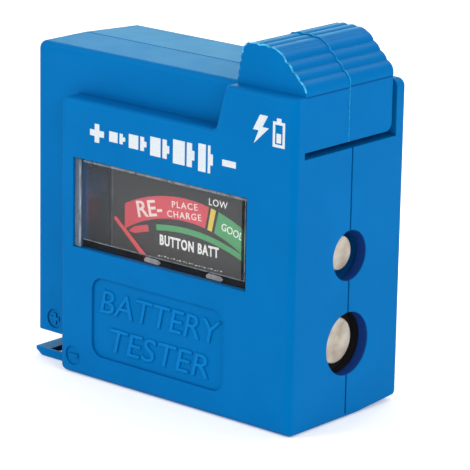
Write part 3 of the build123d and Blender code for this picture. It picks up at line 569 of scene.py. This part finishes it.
# ------------------------------------------------------------------ flash, painted rib shadows and painted edge highlight of the slide head
CENTRE_HEIGHT = 6.5                       # the outline is read round a point at this height on the head
FOOT_WIDTH, FOOT_HEIGHT = 1.6, 4          # lower left foot, left out of the outline
WALL, HOLLOW_HEIGHT = 1.4, 8.4            # hollow of the head, left out as well
# sizes of the strips of painted shadow under the lowest rib
SHADOW_SUNK, SHADOW_THICK, SHADOW_HEIGHT, SHADOW_MARGIN = 0.03, 0.07, 0.2, 0.02


def corners(node):
    """Lowest and highest corner of a node."""
    return [[c / MM for c in corner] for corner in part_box(node)]


def head_outline(node, y):
    """Outer outline of the head at one depth, read from its mesh: low left, over the top, to low right."""
    low, high = corners(node)
    centre_x, centre_z = (low[0] + high[0]) / 2, low[2] + CENTRE_HEIGHT
    found = {}
    for v in nodes[node].data.vertices:
        x, depth, z = (c / MM for c in v.co)
        foot = x < low[0] + FOOT_WIDTH and z < low[2] + FOOT_HEIGHT
        hollow = low[0] + WALL < x < high[0] - WALL and z < low[2] + HOLLOW_HEIGHT
        if abs(depth - y) > 0.01 or foot or hollow:
            continue
        found[round(math.atan2(centre_z - z, x - centre_x), 3)] = (x, z)
    turn = sorted(found.items(), key=lambda item: (item[0] + math.pi * 1.5) % (2 * math.pi))
    return [place for _, place in turn]


def rib_shadow(name, head, foot):
    """Strip of painted shadow across the right face of a head half, under its lowest rib, foot above its
    underside.
    """
    low, high = corners(head)
    lowest = [v.co for v in nodes[head].data.vertices if v.co.z / MM < low[2] + 1]
    face_x = max(co.x for co in lowest) / MM - SHADOW_SUNK
    depths = low[1] + SHADOW_MARGIN, high[1] - SHADOW_MARGIN
    heights = low[2] + foot - SHADOW_HEIGHT / 2, low[2] + foot + SHADOW_HEIGHT / 2
    strip = [(x, y, z) for x in (face_x, face_x + SHADOW_THICK) for y in depths for z in heights]
    faces = [(0, 1, 3, 2), (4, 6, 7, 5), (0, 4, 5, 1), (2, 3, 7, 6), (0, 2, 6, 4), (1, 5, 7, 3)]
    add_mesh(name, strip, faces, rib_shadow_blue, "slide")


head_front, head_mid = corners("slide_front")[0][1], corners("slide_rear")[0][1]
CREST_LEFT, CREST_LOW = 13.9, 47.8        # the painted highlight runs only over the ribs
crest = [(x, z) for x, z in head_outline("slide_front", head_front) if z > CREST_LOW and x > CREST_LEFT]
# flash bead along the parting line, its lighter colour a painted highlight
bead("slide_parting_flash", head_outline("slide_rear", head_mid), head_mid, 0.08, flash_highlight_blue)
# painted shadow under the lowest rib of each head half
rib_shadow("slide_front_rib_shadow", "slide_front", 7.55)
rib_shadow("slide_rear_rib_shadow", "slide_rear", 7.67)
# bead that paints the speckled highlight along the head's front edge
bead("slide_front_edge_highlight", crest, head_front + 0.04, 0.12, edge_highlight_blue)

# ------------------------------------------------------------------ stage (sizes in metres)
SIDE, FRONT, BACK, RISE, CURVE, CURVE_STEPS = 2.0, -2.0, 0.9, 1.6, 0.35, 12
BELOW = 0.0001                            # the paper lies just under the object
PAPER_TURN = math.radians(40.6)           # and is square to the camera
sweep = [(FRONT, 0.0), (BACK - CURVE, 0.0)]
for i in range(1, CURVE_STEPS + 1):
    a = math.radians(90 * i / CURVE_STEPS)
    sweep.append((BACK - CURVE + CURVE * math.sin(a), CURVE - CURVE * math.cos(a)))
sweep.append((BACK, RISE))
verts = [(side * SIDE, y, z - BELOW) for y, z in sweep for side in (-1, 1)]
quads = [(2 * i, 2 * i + 1, 2 * i + 3, 2 * i + 2) for i in range(len(sweep) - 1)]
floor_mesh = bpy.data.meshes.new("floor")
floor_mesh.from_pydata(verts, [], quads)
for face in floor_mesh.polygons:
    face.use_smooth = True

paper, paper_tree, paper_shader = new_material("stage_paper")
fibres = noise(paper_tree, coords(paper_tree), 300, 3)
paper_stops = ((0.3, (0.92, 0.92, 0.92)), (0.7, (0.94, 0.94, 0.94)))
paper_tree.links.new(ramp(paper_tree, fibres, paper_stops), paper_shader.inputs["Base Color"])
paper_shader.inputs["Roughness"].default_value = 0.9
paper_shader.inputs["Specular IOR Level"].default_value = 0.1
paper_shader.inputs["Emission Color"].default_value = (1, 1, 1, 1)
paper_shader.inputs["Emission Strength"].default_value = 0.22
floor_mesh.materials.append(paper)

floor = bpy.data.objects.new("floor", floor_mesh)
bpy.context.scene.collection.objects.link(floor)
floor.rotation_euler = (0, 0, PAPER_TURN)
floor.visible_glossy = False

# ------------------------------------------------------------------ world: white to the camera
SKY_LIGHT, SKY_REFLECTED = 0.55, 0.05
world = bpy.data.worlds.new("studio")
bpy.context.scene.world = world
world.use_nodes = True
world_tree = world.node_tree
sky = world_tree.nodes["Background"]
sky.inputs["Color"].default_value = (1, 1, 1, 1)
rays = world_tree.nodes.new("ShaderNodeLightPath")
seen = world_tree.nodes.new("ShaderNodeMath")
seen.operation = "MAXIMUM"
world_tree.links.new(rays.outputs["Is Camera Ray"], seen.inputs[0])
strength = spread(world_tree, rays.outputs["Is Glossy Ray"], SKY_LIGHT, SKY_REFLECTED)
world_tree.links.new(strength, seen.inputs[1])
world_tree.links.new(seen.outputs[0], sky.inputs["Strength"])


# ------------------------------------------------------------------ lights (metres and watts)
def area_light(name, place, aim_height, size, power):
    """Square lamp aimed at a height above the origin."""
    data = bpy.data.lights.new(name, "AREA")
    data.size = size
    data.energy = power
    lamp = bpy.data.objects.new(name, data)
    bpy.context.scene.collection.objects.link(lamp)
    lamp.location = place
    lamp.rotation_euler = (Vector((0, 0, aim_height)) - Vector(place)).to_track_quat("-Z", "Y").to_euler()
    return lamp


area_light("key_left", (-0.55, -0.75, 0.75), 0.02, 0.5, 6.0)
area_light("fill_right", (0.9, -0.25, 0.45), 0.02, 0.5, 4.0)
area_light("top_back", (0.1, 0.55, 0.8), 0.03, 0.6, 3.0)
top_sheen = area_light("top_sheen", (-0.75, 0.88, 0.34), 0.04, 0.8, 4.0)
top_sheen.data.color = (0.55, 1.0, 0.85)
top_sheen.visible_diffuse = False

# ------------------------------------------------------------------ camera
AZIMUTH, ELEVATION, ROLL = math.radians(40.62), math.radians(15.71), math.radians(1.071)
TARGET = Vector((4.144, 0.3, 22.23)) * MM
DISTANCE = 420.7 * MM
SENSOR_WIDTH, LENS = 36, 227.1
back = Vector((
    math.sin(AZIMUTH) * math.cos(ELEVATION),
    -math.cos(AZIMUTH) * math.cos(ELEVATION),
    math.sin(ELEVATION),
))
cam_data = bpy.data.cameras.new("camera")
cam_data.sensor_width = SENSOR_WIDTH
cam_data.lens = LENS
cam = bpy.data.objects.new("camera", cam_data)
bpy.context.scene.collection.objects.link(cam)
cam.matrix_world = (
    Matrix.Translation(TARGET + back * DISTANCE)
    @ (-back).to_track_quat("-Z", "Y").to_matrix().to_4x4()
    @ Matrix.Rotation(ROLL, 4, "Z")
)
bpy.context.scene.camera = cam
bpy.context.scene.view_settings.view_transform = "Standard"
